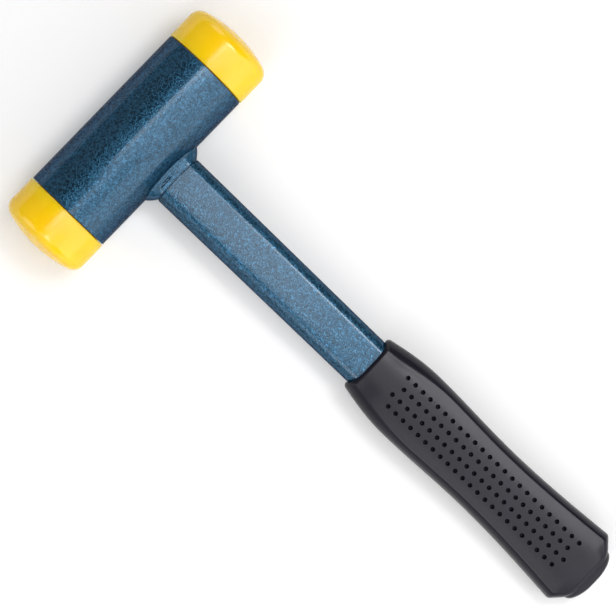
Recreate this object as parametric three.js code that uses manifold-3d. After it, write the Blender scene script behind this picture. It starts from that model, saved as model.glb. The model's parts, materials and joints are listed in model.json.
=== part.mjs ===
// Dead blow hammer: a steel head tube holding loose shot between two closing discs, two pressed-in
// polyurethane striking faces, and a flat oval handle tube welded to the head under a perforated grip.
// Millimetres, +Z up. The hammer lies on its side: the head runs along Y and the handle points along +X.

import * as THREE from "three";
import { mergeGeometries, mergeVertices } from "three/addons/utils/BufferGeometryUtils.js";
import Module from "manifold-3d";

const wasm = await Module();
wasm.setup();
const { clamp, lerp } = THREE.MathUtils;

// Whole hammer, from the far side of its striking faces to its butt
const HAMMER_LENGTH = 280.2;

// Striking faces: the diameter is the hammer's nominal size
const FACE_DIAMETER = 40;
const FACE_HEIGHT = 19.2;
const FACE_CROWN_RADIUS = 55;
const FACE_RIM_RADIUS = 5.2;
const FACE_HEEL = 0.5;
const FACE_OVERHANG = 0.3;
const SPIGOT_LENGTH = 10;
const SPIGOT_BARB_PITCH = 3.2;
const SPIGOT_BARB_HEIGHT = 0.5;

// Head tube: bored through, opened out at both ends for a disc and a face
const HEAD_LENGTH = 80.6;
const HEAD_SEAT_WALL = 2.2;
const HEAD_SEAT_STEP = 1;
const HEAD_CHAMFER = 0.4;

// Closing discs: pressed steel cups that seal the shot chamber
const DISC_THICKNESS = 1.6;
const DISC_RIM = 4;
const DISC_BEND = 1.2;

// Steel shot: layers of one ball inside a ring of balls, free to run along the chamber
const SHOT_LAYER_COUNT = 4;
const SHOT_RING_COUNT = 6;
const SHOT_LEAST_RUN = 3;

// Handle tube: flat oval section, slightly wider at the head
const HANDLE_WIDTH = 22.2;
const HANDLE_ROOT_WIDTH = 23.15;
const HANDLE_THICKNESS = 10.5;
const HANDLE_SIDE = 5;
const HANDLE_WALL = 1.8;

// Weld collar: the bead that joins the handle tube to the head tube
const COLLAR_LENGTH = 3.7;
const COLLAR_SIDE_LEG = 3.3;
const COLLAR_FACE_LEG = 1.5;
const COLLAR_EDGE = 0.3;
const COLLAR_CROWN = 0.35;

// Grip sleeve, lengthwise from its mouth to its butt
const GRIP_LIP_ROUND = 1;
const GRIP_MOUTH_DIP = 2.4;
const GRIP_RISE = 16;
const GRIP_SWELL_LENGTH = 25.4;
const GRIP_WAIST_LENGTH = 43.4;
const GRIP_FLARE_LENGTH = 51.8;
const GRIP_CHAMFER_LENGTH = 5.7;
const GRIP_BOSS_LENGTH = 3.5;
const GRIP_PAD_LENGTH = 37.6;

// Grip sleeve, rubber over the tube and shape of its section
const GRIP_MOUTH_WALL = 2.1;
const GRIP_SWELL_WALL = 5.45;
const GRIP_WAIST_WALL = 4.25;
const GRIP_FLARE_WALL = 6.95;
const GRIP_CHAMFER_WALL = 0.8;
const GRIP_FACE_WALL = 4;
const GRIP_BOSS_WALL = 1.7;
const GRIP_BUTT_WALL = 2.5;
const GRIP_BOSS_ROUND = 4.5;
const GRIP_BOSS_END_WIDTH = 6.6;
const GRIP_BOSS_END_THICKNESS = 6.7;
const GRIP_BUTT_ROUND = 2;
const GRIP_SIDE = 3.7;
const GRIP_PAD_MOUTH_WIDTH = 17;

// Grip perforations: staggered rows of blind holes in both broad faces
const PIT_DIAMETER = 1.7;
const PIT_DEPTH = 1.6;
const PIT_PITCH = 4.2;
const PIT_ROWS = 4;
const PIT_ROW_PITCH = 4.65;
const PIT_MOUTH_MARGIN = 16.7;
const PIT_BUTT_MARGIN = 16.1;

// Clearances
const SEAT_GAP = 0.3;
const BORE_FIT = 0.15;
const WELD_GAP = 0.25;
const GRIP_FIT = 0.25;
const SHOT_GAP = 0.3;

// Facets
const ROUND_STEPS = 40;
const ARC_STEPS = 4;
const CROWN_STEPS = 3;
const SIDE_STEPS = 8;
const CURVE_STEPS = 6;
const ROUND_OVER_STEPS = 3;
const PIT_STEPS = 6;
const SHOT_DETAIL = 1;
const MERGE_DISTANCE = 1e-4;

// Sizes that follow from the driving dimensions
const FACE_RADIUS = FACE_DIAMETER / 2;
const HEAD_RADIUS = FACE_RADIUS - FACE_OVERHANG;
const SEAT_RADIUS = HEAD_RADIUS - HEAD_SEAT_WALL;
const CHAMBER_RADIUS = SEAT_RADIUS - HEAD_SEAT_STEP;
const HEAD_HALF = HEAD_LENGTH / 2;
const FACE_PLANE = HEAD_HALF + SEAT_GAP;
const DISC_PLANE = FACE_PLANE - SPIGOT_LENGTH - SEAT_GAP - DISC_RIM;
const SEAT_PLANE = DISC_PLANE - SEAT_GAP;
const COLLAR_TOE = HEAD_RADIUS + COLLAR_LENGTH;
const HANDLE_ROOT = COLLAR_TOE + WELD_GAP;
const GRIP_BUTT = HAMMER_LENGTH - FACE_RADIUS;
const GRIP_SHOULDER = GRIP_BUTT - GRIP_BOSS_LENGTH;
const GRIP_FLARE = GRIP_SHOULDER - GRIP_CHAMFER_LENGTH;
const GRIP_WAIST = GRIP_FLARE - GRIP_FLARE_LENGTH;
const GRIP_SWELL = GRIP_WAIST - GRIP_WAIST_LENGTH;
const GRIP_MOUTH = GRIP_SWELL - GRIP_SWELL_LENGTH;
const HANDLE_END = GRIP_BUTT - GRIP_BUTT_WALL - SEAT_GAP;
const PAD_HEIGHT = HANDLE_THICKNESS / 2 + GRIP_FACE_WALL;

// Finishes
const paint = { color: 0x2f5268, roughness: 0.38, metalness: 0.35 };
const polyurethane = { color: 0xf8c815, roughness: 0.3, metalness: 0 };
const rubber = { color: 0x2c2c30, roughness: 0.55, metalness: 0 };
const steel = { color: 0x9fa3a6, roughness: 0.32, metalness: 1 };

// Ease curves of a share from 0 to 1
const easeOut = (share) => Math.sin((share * Math.PI) / 2);
const easeIn = (share) => 1 - Math.cos((share * Math.PI) / 2);
const easeInOut = (share) => (1 - Math.cos(share * Math.PI)) / 2;

// How far x lies from start to end, as a share held between 0 and 1
function shareOf(x, start, end) {
  return clamp((x - start) / (end - start), 0, 1);
}

// Evenly spaced values from start to end, both included
function spread(start, end, steps) {
  return Array.from({ length: steps + 1 }, (_, i) => lerp(start, end, i / steps));
}

// Named piece with its own material
function piece(name, geometry, finish) {
  const mesh = new THREE.Mesh(geometry, new THREE.MeshStandardMaterial(finish));
  mesh.name = name;
  return mesh;
}

// Solid of a closed geometry, for cutting and joining
function toSolid(geometry) {
  const bare = new THREE.BufferGeometry();
  bare.setAttribute("position", geometry.getAttribute("position"));
  bare.setIndex(geometry.getIndex());
  const merged = mergeVertices(bare, MERGE_DISTANCE);
  const vertProperties = merged.getAttribute("position").array;
  const triVerts = new Uint32Array(merged.getIndex().array);
  return new wasm.Manifold(new wasm.Mesh({ numProp: 3, vertProperties, triVerts }));
}

// Geometry of a finished solid
function toGeometry(solid) {
  const { vertProperties, triVerts } = solid.getMesh();
  const geometry = new THREE.BufferGeometry();
  geometry.setAttribute("position", new THREE.BufferAttribute(vertProperties, 3));
  geometry.setIndex(new THREE.BufferAttribute(triVerts, 1));
  geometry.computeVertexNormals();
  return geometry;
}

// Closed skin over a row of rings that all have the same number of points, capped from the ends' middles
function loft(rings) {
  const ends = [rings[0], rings.at(-1)];
  const middles = ends.map((ring) => new THREE.Box3().setFromPoints(ring).getCenter(new THREE.Vector3()));
  const count = rings[0].length;
  const last = (rings.length - 1) * count;
  const middle = last + count;
  const index = [];
  for (let start = 0; start < last; start += count) {
    for (let p = 0; p < count; p++) {
      const a = start + p;
      const b = start + ((p + 1) % count);
      index.push(a, a + count, b);
      index.push(b, a + count, b + count);
    }
  }
  for (let p = 0; p < count; p++) {
    const next = (p + 1) % count;
    index.push(middle, p, next);
    index.push(middle + 1, last + next, last + p);
  }
  const geometry = new THREE.BufferGeometry().setFromPoints([...rings.flat(), ...middles]);
  geometry.setIndex(index);
  return geometry;
}

// Ring across the handle at x: flat broad faces, set back by a dip, joined by half-elliptical sides
function ovalRing({ x, halfWidth, halfThickness, side, dip = 0 }) {
  const flat = halfWidth - side;
  return [1, -1].flatMap((hand) =>
    spread(0, Math.PI, SIDE_STEPS).map((angle) => {
      const y = hand * (flat + side * Math.sin(angle));
      const z = hand * halfThickness * Math.cos(angle);
      return new THREE.Vector3(x + dip * Math.cos(angle) ** 2, y, z);
    }),
  );
}

// Section of the handle tube at x, grown by an offset on every side
function handleSection(x, offset) {
  const taper = shareOf(x, HANDLE_ROOT, GRIP_MOUTH);
  return {
    x,
    halfWidth: lerp(HANDLE_ROOT_WIDTH, HANDLE_WIDTH, taper) / 2 + offset,
    halfThickness: HANDLE_THICKNESS / 2 + offset,
    side: HANDLE_SIDE + offset,
  };
}

// Solid bar of the handle's section between two or more stations
function handleBar(stations, offset) {
  return toSolid(loft(stations.map((x) => ovalRing(handleSection(x, offset)))));
}

// Plain cylinder over the head, wider by the weld gap, that saddles what meets the head
function headSaddle() {
  const radius = HEAD_RADIUS + WELD_GAP;
  return toSolid(new THREE.CylinderGeometry(radius, radius, HEAD_LENGTH, ROUND_STEPS));
}

// Head tube: one closed profile turned about the head's axis
function headTube() {
  const lead = SEAT_RADIUS + HEAD_CHAMFER;
  const rim = HEAD_RADIUS - HEAD_CHAMFER;
  const edge = HEAD_HALF - HEAD_CHAMFER;
  const upper = [
    [HEAD_RADIUS, edge],
    [rim, HEAD_HALF],
    [lead, HEAD_HALF],
    [SEAT_RADIUS, edge],
    [SEAT_RADIUS, SEAT_PLANE],
    [CHAMBER_RADIUS, SEAT_PLANE],
  ];
  const lower = upper.map(([radius, y]) => [radius, -y]).reverse();
  const profile = [...upper, ...lower, upper[0]].map(([radius, y]) => new THREE.Vector2(radius, y));
  return new THREE.LatheGeometry(profile, ROUND_STEPS);
}

// Striking face: barbed spigot below, crowned hitting end above, shoulder at y = 0
function strikingFace() {
  const crest = SEAT_RADIUS - BORE_FIT;
  const root = crest - SPIGOT_BARB_HEIGHT;
  const barbs = Math.ceil(SPIGOT_LENGTH / SPIGOT_BARB_PITCH) - 1;
  const rimCentre = FACE_RADIUS - FACE_RIM_RADIUS;
  const crownCentre = FACE_HEIGHT - FACE_CROWN_RADIUS;
  const rimHeight = crownCentre + Math.sqrt((FACE_CROWN_RADIUS - FACE_RIM_RADIUS) ** 2 - rimCentre ** 2);
  const rimEnd = Math.atan2(rimHeight - crownCentre, rimCentre);
  const profile = [new THREE.Vector2(0, -SPIGOT_LENGTH), new THREE.Vector2(root, -SPIGOT_LENGTH)];
  for (let barb = 1; barb <= barbs; barb++) {
    const y = barb * SPIGOT_BARB_PITCH - SPIGOT_LENGTH;
    profile.push(new THREE.Vector2(crest, y), new THREE.Vector2(root, y));
  }
  profile.push(new THREE.Vector2(root, 0), new THREE.Vector2(FACE_RADIUS - FACE_HEEL, 0));
  profile.push(new THREE.Vector2(FACE_RADIUS, FACE_HEEL));
  for (const angle of spread(0, rimEnd, ARC_STEPS)) {
    const x = rimCentre + FACE_RIM_RADIUS * Math.cos(angle);
    profile.push(new THREE.Vector2(x, rimHeight + FACE_RIM_RADIUS * Math.sin(angle)));
  }
  for (const angle of spread(rimEnd, Math.PI / 2, CROWN_STEPS).slice(1, -1)) {
    const x = FACE_CROWN_RADIUS * Math.cos(angle);
    profile.push(new THREE.Vector2(x, crownCentre + FACE_CROWN_RADIUS * Math.sin(angle)));
  }
  profile.push(new THREE.Vector2(0, FACE_HEIGHT));
  return new THREE.LatheGeometry(profile, ROUND_STEPS);
}

// Closing disc: a shallow cup, floor at y = 0 and rim upwards
function closingDisc() {
  const radius = SEAT_RADIUS - BORE_FIT;
  const bend = spread(-Math.PI / 2, 0, ROUND_OVER_STEPS).map((angle) => [
    radius - DISC_BEND + DISC_BEND * Math.cos(angle),
    DISC_BEND + DISC_BEND * Math.sin(angle),
  ]);
  const inner = radius - DISC_THICKNESS;
  const rim = [
    [radius, DISC_RIM],
    [inner, DISC_RIM],
    [inner, DISC_THICKNESS],
    [0, DISC_THICKNESS],
  ];
  const profile = [[0, 0], ...bend, ...rim].map(([x, y]) => new THREE.Vector2(x, y));
  return new THREE.LatheGeometry(profile, ROUND_STEPS);
}

// Steel shot: the largest balls that fit the chamber's width and leave the least free run along it.
// Alternate layers are turned by half a ring step
function shotBalls() {
  const reach = Math.max(1, 0.5 / Math.sin(Math.PI / SHOT_RING_COUNT));
  const fitWidth = (CHAMBER_RADIUS - SHOT_GAP - reach * SHOT_GAP) / (reach + 0.5);
  const fitLength = (2 * DISC_PLANE - SHOT_LEAST_RUN) / SHOT_LAYER_COUNT - SHOT_GAP;
  const diameter = Math.min(fitWidth, fitLength);
  const pitch = diameter + SHOT_GAP;
  const ringRadius = CHAMBER_RADIUS - SHOT_GAP - diameter / 2;
  const ringStep = (2 * Math.PI) / SHOT_RING_COUNT;
  const places = [];
  for (let layer = 0; layer < SHOT_LAYER_COUNT; layer++) {
    const y = (layer - (SHOT_LAYER_COUNT - 1) / 2) * pitch;
    places.push(new THREE.Vector3(0, y, 0));
    for (let ball = 0; ball < SHOT_RING_COUNT; ball++) {
      const angle = (ball + (layer % 2) / 2) * ringStep;
      places.push(new THREE.Vector3(ringRadius * Math.sin(angle), y, ringRadius * Math.cos(angle)));
    }
  }
  return places.map((place, i) => {
    const name = `shot_ball_${String(i + 1).padStart(2, "0")}`;
    const ball = piece(name, new THREE.IcosahedronGeometry(diameter / 2, SHOT_DETAIL), steel);
    ball.position.copy(place);
    return ball;
  });
}

// Weld collar: a flaring bead round the handle's root, saddled on the head and bored for the handle
function weldCollar() {
  const stations = [0, ...spread(HEAD_RADIUS, COLLAR_TOE, ARC_STEPS)];
  const rings = stations.map((x) => {
    const share = shareOf(x, HEAD_RADIUS, COLLAR_TOE);
    const crown = COLLAR_CROWN * Math.sin(share * Math.PI);
    const section = handleSection(x, WELD_GAP + COLLAR_EDGE + crown);
    section.halfWidth += COLLAR_SIDE_LEG * (1 - share);
    section.side += COLLAR_SIDE_LEG * (1 - share);
    section.halfThickness += COLLAR_FACE_LEG * (1 - share);
    return ovalRing(section);
  });
  const bar = handleBar([-HEAD_RADIUS, HANDLE_ROOT], WELD_GAP);
  return toGeometry(toSolid(loft(rings)).subtract(headSaddle()).subtract(bar));
}

// Handle tube: hollow flat oval, saddled on the head at one end and cut square at the other
function handleTube() {
  const outer = handleBar([0, HANDLE_ROOT, GRIP_MOUTH, HANDLE_END], 0);
  const inner = handleBar([-HEAD_RADIUS, HANDLE_ROOT, GRIP_MOUTH, GRIP_BUTT], -HANDLE_WALL);
  return toGeometry(outer.subtract(inner).subtract(headSaddle()));
}

// Rubber on each edge of the tube at x: swells, narrows to a waist, flares and is chamfered at the butt
function gripEdgeWall(x) {
  if (x <= GRIP_SWELL) {
    return lerp(GRIP_MOUTH_WALL, GRIP_SWELL_WALL, easeOut(shareOf(x, GRIP_MOUTH, GRIP_SWELL)));
  }
  if (x <= GRIP_WAIST) {
    return lerp(GRIP_SWELL_WALL, GRIP_WAIST_WALL, easeInOut(shareOf(x, GRIP_SWELL, GRIP_WAIST)));
  }
  if (x <= GRIP_FLARE) {
    return lerp(GRIP_WAIST_WALL, GRIP_FLARE_WALL, easeIn(shareOf(x, GRIP_WAIST, GRIP_FLARE)));
  }
  return lerp(GRIP_FLARE_WALL, GRIP_CHAMFER_WALL, shareOf(x, GRIP_FLARE, GRIP_SHOULDER));
}

// Section of the grip at x, drawn in by an inset where its ends are rounded over
function gripSection(x, inset) {
  const rise = easeInOut(shareOf(x, GRIP_MOUTH, GRIP_MOUTH + GRIP_RISE));
  const widening = easeInOut(shareOf(x, GRIP_MOUTH, GRIP_MOUTH + GRIP_PAD_LENGTH));
  const halfWidth = HANDLE_WIDTH / 2 + gripEdgeWall(x);
  const padHalfWidth = lerp(GRIP_PAD_MOUTH_WIDTH / 2, halfWidth - GRIP_SIDE, widening);
  const faceWall = lerp(GRIP_MOUTH_WALL, GRIP_FACE_WALL, rise);
  return {
    x,
    halfWidth: halfWidth - inset,
    halfThickness: HANDLE_THICKNESS / 2 + faceWall - inset,
    side: halfWidth - padHalfWidth - inset,
    dip: lerp(GRIP_MOUTH_DIP, 0, rise),
  };
}

// Sections of the grip's body from its rounded mouth to its rounded shoulder
function gripSections() {
  const quarter = spread(0, Math.PI / 2, ROUND_OVER_STEPS);
  const lip = quarter.map((angle) => [
    GRIP_MOUTH + GRIP_LIP_ROUND * (1 - Math.cos(angle)),
    GRIP_LIP_ROUND * (1 - Math.sin(angle)),
  ]);
  const curves = [
    ...spread(GRIP_MOUTH + GRIP_LIP_ROUND, GRIP_MOUTH + GRIP_RISE, CURVE_STEPS).slice(1),
    ...spread(GRIP_MOUTH + GRIP_RISE, GRIP_MOUTH + GRIP_PAD_LENGTH, CURVE_STEPS).slice(1),
    ...spread(GRIP_MOUTH + GRIP_PAD_LENGTH, GRIP_WAIST, CURVE_STEPS).slice(1),
    ...spread(GRIP_WAIST, GRIP_FLARE, CURVE_STEPS).slice(1),
  ].map((x) => [x, 0]);
  const butt = quarter.map((angle) => [
    GRIP_SHOULDER - GRIP_BUTT_ROUND * (1 - Math.sin(angle)),
    GRIP_BUTT_ROUND * (1 - Math.cos(angle)),
  ]);
  return [...lip, ...curves, ...butt].map(([x, inset]) => gripSection(x, inset));
}

// Rounded boss that covers the tube's end at the butt
function gripBoss() {
  const foot = handleSection(GRIP_WAIST, GRIP_BOSS_WALL);
  const roundOver = spread(0, Math.PI / 2, ARC_STEPS).map((angle) => {
    const drawn = 1 - Math.cos(angle);
    const halfWidth = lerp(foot.halfWidth, GRIP_BOSS_END_WIDTH / 2, drawn);
    return {
      x: GRIP_BUTT - GRIP_BOSS_ROUND * (1 - Math.sin(angle)),
      halfWidth,
      halfThickness: lerp(foot.halfThickness, GRIP_BOSS_END_THICKNESS / 2, drawn),
      side: (foot.side * halfWidth) / foot.halfWidth,
    };
  });
  return toSolid(loft([foot, ...roundOver].map(ovalRing)));
}

// Cutters for the blind holes of both broad faces: odd rows sit half a pitch on and hold one less
function pitCutters() {
  const start = GRIP_MOUTH + PIT_MOUTH_MARGIN;
  const zone = GRIP_BUTT - PIT_BUTT_MARGIN - start;
  const gaps = Math.floor(zone / PIT_PITCH);
  const first = start + (zone - gaps * PIT_PITCH) / 2;
  const radius = PIT_DIAMETER / 2;
  const cutter = new THREE.CylinderGeometry(radius, radius, 2 * PIT_DEPTH, PIT_STEPS).rotateX(Math.PI / 2);
  const cutters = [];
  for (let row = 0; row < PIT_ROWS; row++) {
    const y = ((PIT_ROWS - 1) / 2 - row) * PIT_ROW_PITCH;
    const shift = row % 2;
    for (let hole = 0; hole <= gaps - shift; hole++) {
      const x = first + (hole + shift / 2) * PIT_PITCH;
      cutters.push(cutter.clone().translate(x, y, PAD_HEIGHT));
      cutters.push(cutter.clone().translate(x, y, -PAD_HEIGHT));
    }
  }
  return toSolid(mergeGeometries(cutters));
}

// Grip sleeve: lofted body and butt boss, bored for the tube and perforated on both broad faces
function gripSleeve() {
  const body = toSolid(loft(gripSections().map(ovalRing)));
  const bore = handleBar([GRIP_MOUTH - HANDLE_WIDTH, HANDLE_END + SEAT_GAP], GRIP_FIT);
  return toGeometry(body.add(gripBoss()).subtract(bore).subtract(pitCutters()));
}

// Turn about the head's axis that lets the butt of the grip down to the level of the face rims
function restTilt() {
  const turns = gripSections().map(({ x, halfThickness }) => {
    const arm = Math.hypot(x, halfThickness);
    return Math.asin(FACE_RADIUS / arm) - Math.atan2(halfThickness, x);
  });
  return Math.min(...turns);
}

// Faces and discs sit at both ends of the head, right at +Y and left at -Y for the person holding it
function endPieces(side, turn) {
  const end = new THREE.Group();
  const face = piece(`striking_face_${side}`, strikingFace(), polyurethane);
  const disc = piece(`closing_disc_${side}`, closingDisc(), steel);
  face.position.y = FACE_PLANE;
  disc.position.y = DISC_PLANE;
  end.rotation.x = turn;
  end.add(face, disc);
  return end;
}

const head = new THREE.Group();
head.add(piece("head_tube", headTube(), paint));
head.add(endPieces("right", 0), endPieces("left", Math.PI));
head.add(...shotBalls());

const handle = new THREE.Group();
handle.add(piece("weld_collar", weldCollar(), paint));
handle.add(piece("handle_tube", handleTube(), paint));
handle.add(piece("grip_sleeve", gripSleeve(), rubber));

const resting = new THREE.Group();
resting.rotation.y = restTilt();
resting.add(head, handle);

// The origin lies under the middle of the hammer, on the surface that carries it
const hammer = new THREE.Group();
hammer.add(resting);
const box = new THREE.Box3().setFromObject(hammer, true);
const centre = box.getCenter(new THREE.Vector3());
resting.position.set(-centre.x, -centre.y, -box.min.z);

export default hammer;
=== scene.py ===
"""Looks of a dead blow hammer that lies on its side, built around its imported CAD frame.

Shapes are worked out in millimetres in the hammer's own frame: the head's axis is y through the
origin, the handle points along +x, and its broad faces look along +z and -z. Lay turns that frame
into the row frame, which is in metres.
"""

import json
import logging
from dataclasses import dataclass
from enum import Enum
from math import atan2, cos, pi, radians, sin, sqrt

import bmesh
import bpy
import numpy as np
from mathutils import Matrix, Vector


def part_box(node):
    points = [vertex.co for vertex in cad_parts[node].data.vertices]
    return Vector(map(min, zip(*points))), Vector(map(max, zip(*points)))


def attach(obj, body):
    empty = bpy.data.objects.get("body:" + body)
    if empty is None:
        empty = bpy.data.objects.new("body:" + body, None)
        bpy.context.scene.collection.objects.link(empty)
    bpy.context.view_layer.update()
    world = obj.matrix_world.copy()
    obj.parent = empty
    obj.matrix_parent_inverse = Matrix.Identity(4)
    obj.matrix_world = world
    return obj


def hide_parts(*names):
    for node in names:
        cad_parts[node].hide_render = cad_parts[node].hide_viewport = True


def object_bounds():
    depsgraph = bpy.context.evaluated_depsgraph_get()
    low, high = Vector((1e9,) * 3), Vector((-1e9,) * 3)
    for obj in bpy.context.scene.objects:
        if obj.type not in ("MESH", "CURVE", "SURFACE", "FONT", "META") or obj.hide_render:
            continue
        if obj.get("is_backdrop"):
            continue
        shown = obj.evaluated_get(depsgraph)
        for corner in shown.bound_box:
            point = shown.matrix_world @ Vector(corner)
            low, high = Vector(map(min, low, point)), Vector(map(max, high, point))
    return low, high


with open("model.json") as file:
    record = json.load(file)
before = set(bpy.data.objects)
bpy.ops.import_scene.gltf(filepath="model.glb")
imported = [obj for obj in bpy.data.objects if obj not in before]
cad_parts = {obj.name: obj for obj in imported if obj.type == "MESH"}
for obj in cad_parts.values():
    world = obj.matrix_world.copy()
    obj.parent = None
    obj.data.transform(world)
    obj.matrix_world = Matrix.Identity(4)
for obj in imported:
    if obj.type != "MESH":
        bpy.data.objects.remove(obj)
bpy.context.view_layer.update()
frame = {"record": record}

Array = np.ndarray
Colour = tuple[float, float, float]
Place = tuple[float, float, float]
Pair = tuple[float, float]
Socket = bpy.types.NodeSocket
Node = bpy.types.Node
Tree = bpy.types.NodeTree
Material = bpy.types.Material
Piece = bpy.types.Object
log = logging.getLogger("hammer")

MILLIMETRE = 0.001
WELD_DISTANCE = 1e-6
SHARP_ANGLE = radians(38)
CROWN_POWER = 3
WHOLE = (0.0, 1.0)
WHITE = (1, 1, 1, 1)
ORIGIN = (0.0, 0.0, 0.0)
CEILING = 1200.0


class Slot(Enum):
    """Material slots of the record."""

    PAINT = "hammertone_paint"
    FACE = "yellow_polyurethane"
    GRIP = "grip_rubber"
    DISC = "zinc_plated_steel"
    SHOT = "bright_steel_shot"


class Body(Enum):
    """Moving bodies of the record."""

    HAMMER = "hammer"
    RIGHT_FACE = "right_face"
    LEFT_FACE = "left_face"
    SHOT = "shot_charge"


class Side(Enum):
    """Ends of the head: right is +y and left is -y for the person holding the hammer."""

    RIGHT = 1
    LEFT = -1


@dataclass(frozen=True)
class Lay:
    """How the hammer lies in the row frame.

    Attributes:
        centre: middle of the head's axis, in metres.
        dip: turn about the head's axis that lets the butt down, in radians.
    """

    centre: Place
    dip: float

    @classmethod
    def from_frame(cls) -> "Lay":
        """Reads the head's place and the handle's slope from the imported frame.

        Returns:
            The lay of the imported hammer.
        """
        low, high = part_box("head_tube")
        mounts = frame["record"]["mounts"]
        normal = next(m["axis"] for m in mounts if m["name"] == "handle_flat_upper")
        return cls(tuple((low + high) / 2), atan2(normal[0], normal[2]))

    def turn(self, points: Array) -> Array:
        """Turns directions or points about the head's axis by the dip, without moving them.

        Args:
            points: array of any shape with x, y, z last.

        Returns:
            The turned points, in the same shape.
        """
        x, y, z = np.moveaxis(np.asarray(points, float), -1, 0)
        c, s = cos(self.dip), sin(self.dip)
        return np.stack([x * c + z * s, y, z * c - x * s], axis=-1)

    def place(self, points: Array) -> Array:
        """Moves points from the hammer's frame in millimetres to the row frame in metres."""
        return self.turn(points) * MILLIMETRE + np.array(self.centre)

    def pose(self, axes: Array, at: Array) -> Matrix:
        """Gives the pose of a lamp or camera.

        Args:
            axes: its x, y and z axes as rows, in the hammer's frame.
            at: its place in the hammer's frame, in millimetres.

        Returns:
            Its matrix in the row frame.
        """
        turn = Matrix(self.turn(axes).T.tolist()).to_4x4()
        turn.translation = Vector(self.place(at))
        return turn


def put(name: str, data: bpy.types.ID) -> Piece:
    """Puts a new object into the scene.

    Args:
        name: the object's name.
        data: its mesh, lamp or camera.

    Returns:
        The object.
    """
    thing = bpy.data.objects.new(name, data)
    bpy.context.scene.collection.objects.link(thing)
    return thing


class Skin:
    """Closed skin of one piece, gathered from grids of points in the hammer's frame."""

    def __init__(self, name: str) -> None:
        """Starts an empty skin that will become the object of that name."""
        self.name = name
        self._points: list[Array] = []
        self._faces: list[list[int]] = []
        self._count = 0

    def add(self, points: Array) -> Array:
        """Adds points.

        Args:
            points: array of any grid shape with x, y, z last.

        Returns:
            The points' indices, in the same grid shape.
        """
        flat = points.reshape(-1, 3)
        index = np.arange(self._count, self._count + len(flat)).reshape(points.shape[:-1])
        self._points.append(flat)
        self._count += len(flat)
        return index

    def span(self, index: Array, keep: Array | None = None) -> None:
        """Spans a quad between each four neighbours of an index grid.

        Args:
            index: grid of point indices, rows by columns.
            keep: mask of the quads to make, or None for all.
        """
        corners = (index[:-1, :-1], index[:-1, 1:], index[1:, 1:], index[1:, :-1])
        quads = np.stack(corners, axis=-1)
        chosen = quads.reshape(-1, 4) if keep is None else quads[keep]
        self._faces += chosen.tolist()

    def sweep(self, grid: Array) -> None:
        """Adds a grid of rings by points by 3, whose rows are closed rings, and spans it."""
        index = self.add(grid)
        self.span(np.hstack([index, index[:, :1]]))

    def build(self, lay: Lay) -> Piece:
        """Makes the mesh: doubles are merged, faces turned outwards and shaded smooth.

        Args:
            lay: how the hammer lies.

        Returns:
            The object, in the row frame.
        """
        mesh = bpy.data.meshes.new(self.name)
        mesh.from_pydata(lay.place(np.concatenate(self._points)), [], self._faces)
        work = bmesh.new()
        work.from_mesh(mesh)
        bmesh.ops.remove_doubles(work, verts=work.verts, dist=WELD_DISTANCE)
        bmesh.ops.recalc_face_normals(work, faces=work.faces)
        work.to_mesh(mesh)
        work.free()
        mesh.polygons.foreach_set("use_smooth", np.ones(len(mesh.polygons), bool))
        mesh.set_sharp_from_angle(angle=SHARP_ANGLE)
        return put(self.name, mesh)


def arc(centre: Pair, radius: float, start: float, end: float, steps: int) -> Array:
    """Points on a circle: centre plus radius times (cos, sin) of evenly spaced angles.

    Args:
        centre: middle of the circle.
        radius: its radius.
        start: first angle in radians.
        end: last angle in radians.
        steps: number of segments.

    Returns:
        Points, steps + 1 by 2.
    """
    angle = np.linspace(start, end, steps + 1)
    return np.array(centre) + radius * np.stack([np.cos(angle), np.sin(angle)], axis=-1)


def turned(profile: Array, steps: int) -> Array:
    """Turns a profile about the head's axis: x is r sin a, y is the height and z is r cos a.

    Args:
        profile: radius and height pairs.
        steps: number of segments round the axis.

    Returns:
        Grid of profile points by turns by 3.
    """
    angle = np.linspace(0, 2 * pi, steps, endpoint=False)
    radius, height = profile[:, :1], profile[:, 1:]
    return np.stack([radius * np.sin(angle), height + 0 * angle, radius * np.cos(angle)], axis=-1)


def unit(vector: Array) -> Array:
    """Vector of length 1 in the same direction."""
    return vector / np.linalg.norm(vector)


def ease_in_out(share: Array) -> Array:
    """Half a cosine wave, from 0 to 1 with level ends."""
    return (1 - np.cos(pi * share)) / 2


def share_of(x: Array, start: float, end: float) -> Array:
    """How far x lies from start to end, held between 0 and 1."""
    return np.clip((np.asarray(x, float) - start) / (end - start), 0, 1)


def mix(low: Array, high: Array, share: Array) -> Array:
    """Straight blend from low to high."""
    return low + (high - low) * share


def oval_rings(x: Array, half_width: Array, half_thickness: Array, lines: Array, steps: int,
               crown: Array | float = 0.0) -> Array:
    """Rings across the handle: broad faces joined by half-elliptical sides.

    The upper face runs along the lines from -y to +y, the +y side is an ellipse quarter down and a
    quarter back, the lower face runs from +y to -y, and the -y side closes the ring. A crown lowers
    the faces towards their edges by the cube of the share of the way.

    Args:
        x: places of the rings.
        half_width: half the ring's width along y.
        half_thickness: half its height along z, in the middle.
        lines: y of the points on the broad faces, rings by points, from -flat to +flat.
        steps: segments in each side.
        crown: how far the edges of the broad faces lie below their middle, as a share of their
            half width.

    Returns:
        Grid of rings by points by 3.
    """
    angle = np.linspace(0, pi, steps + 1)[1:-1]
    width = np.asarray(half_width, float)[:, None]
    height = np.asarray(half_thickness, float)[:, None]
    flat = lines[:, -1:]
    side = (width - flat) * np.sin(angle)
    drop = np.reshape(crown, (-1, 1)) * flat
    level = height - drop * np.abs(lines / flat) ** CROWN_POWER
    edge = (height - drop) * np.cos(angle)
    y = np.hstack([lines, flat + side, lines[:, ::-1], -flat - side])
    z = np.hstack([level, edge, -level, -edge])
    return np.stack([np.asarray(x, float).reshape(len(y), -1) + 0 * y, y, z], axis=-1)


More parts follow.
